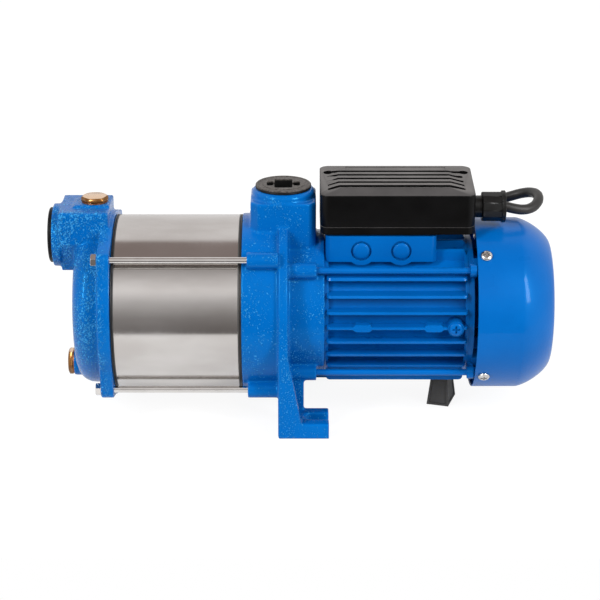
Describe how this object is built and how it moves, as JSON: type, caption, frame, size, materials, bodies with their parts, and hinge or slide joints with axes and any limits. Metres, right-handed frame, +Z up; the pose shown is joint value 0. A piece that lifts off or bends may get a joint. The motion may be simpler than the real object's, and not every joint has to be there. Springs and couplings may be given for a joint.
{
  "type": "horizontal multistage pump",
  "caption": "Electric water pump: cast pump end with closed impellers in a stainless sleeve, finned fan cooled motor, terminal box and mains cable.",
  "frame": {"origin": "on the floor, midway between the two foot bolts", "axes": "+X along the shaft from the suction port to the fan, +Z up"},
  "size_m": [0.3958, 0.2567, 0.1885],
  "materials": {
    "cast_paint": "glossy blue enamel over a rough sand casting",
    "smooth_paint": "glossy blue enamel over die casting and pressed sheet",
    "cap_plastic": "satin black moulded plastic",
    "brass": "turned bare brass",
    "copper_washer": "soft copper",
    "zinc_steel": "bright zinc plate",
    "seal_rubber": "smooth black rubber",
    "stainless": "satin rolled stainless sheet",
    "stage_plastic": "glass filled natural plastic",
    "shaft_steel": "ground steel",
    "carbon": "lapped carbon",
    "ceramic": "lapped ceramic",
    "core_steel": "stacked electrical steel",
    "copper_wire": "varnished copper wire",
    "fan_plastic": "black moulded plastic",
    "foot_rubber": "dull black rubber",
    "box_plastic": "satin black moulded plastic",
    "inner_plastic": "light moulded plastic",
    "cord_rubber": "matte black cable sheath"
  },
  "bodies": {
    "housing": {"suction_casing": "cast_paint", "tie_bolts": "zinc_steel", "sleeve_seal_front": "seal_rubber", "sleeve_seal_rear": "seal_rubber", "pump_sleeve": "stainless", "diffuser_1": "stage_plastic", "diffuser_2": "stage_plastic", "diffuser_3": "stage_plastic", "diffuser_4": "stage_plastic", "seal_seat": "ceramic", "pump_bracket": "cast_paint", "motor_frame": "smooth_paint", "stator_core": "core_steel", "stator_windings": "copper_wire", "front_bearing_outer": "shaft_steel", "rear_bearing_outer": "shaft_steel", "bearing_wave_washer": "zinc_steel", "rear_end_shield": "smooth_paint", "motor_tie_rods": "smooth_paint", "fan_cover": "smooth_paint", "fan_cover_screws": "zinc_steel", "rubber_foot": "foot_rubber", "ground_screw": "zinc_steel", "terminal_gasket": "seal_rubber", "terminal_box_base": "box_plastic", "terminal_box_lid": "box_plastic", "lid_screws": "zinc_steel", "terminal_block": "inner_plastic", "run_capacitor": "inner_plastic", "gland_body": "box_plastic", "gland_seal": "seal_rubber", "gland_nut": "box_plastic", "power_cord": "cord_rubber", "cord_coil": "cord_rubber", "cord_tail": "cord_rubber", "cord_plug": "cord_rubber"},
    "rotor": {"shaft": "shaft_steel", "impeller_1": "stainless", "impeller_2": "stainless", "impeller_3": "stainless", "impeller_4": "stainless", "impeller_nut": "zinc_steel", "seal_head": "carbon", "seal_spring": "stainless", "rotor_core": "core_steel", "front_bearing_inner": "shaft_steel", "front_bearing_balls": "shaft_steel", "rear_bearing_inner": "shaft_steel", "rear_bearing_balls": "shaft_steel", "cooling_fan": "fan_plastic", "fan_circlip": "zinc_steel"},
    "filling_plug": {"priming_plug": "brass", "priming_washer": "copper_washer"},
    "emptying_plug": {"drain_plug": "brass", "drain_washer": "copper_washer"},
    "suction_port_cap": {"suction_cap": "cap_plastic"},
    "discharge_port_cap": {"discharge_cap": "cap_plastic"}
  },
  "joints": [
    {"name": "shaft_spin", "type": "hinge", "parent": "housing", "child": "rotor", "pos_m": [0, 0, 0.085], "axis": [1, 0, 0], "continuous": true},
    {"name": "filling_plug_out", "type": "slide", "parent": "housing", "child": "filling_plug", "axis": [0, 0, 1], "range_m": [0, 0.03]},
    {"name": "emptying_plug_out", "type": "slide", "parent": "housing", "child": "emptying_plug", "axis": [-1, 0, 0], "range_m": [0, 0.03]},
    {"name": "suction_cap_out", "type": "slide", "parent": "housing", "child": "suction_port_cap", "axis": [-1, 0, 0], "range_m": [0, 0.03]},
    {"name": "discharge_cap_out", "type": "slide", "parent": "housing", "child": "discharge_port_cap", "axis": [0, 0, 1], "range_m": [0, 0.03]}
  ]
}
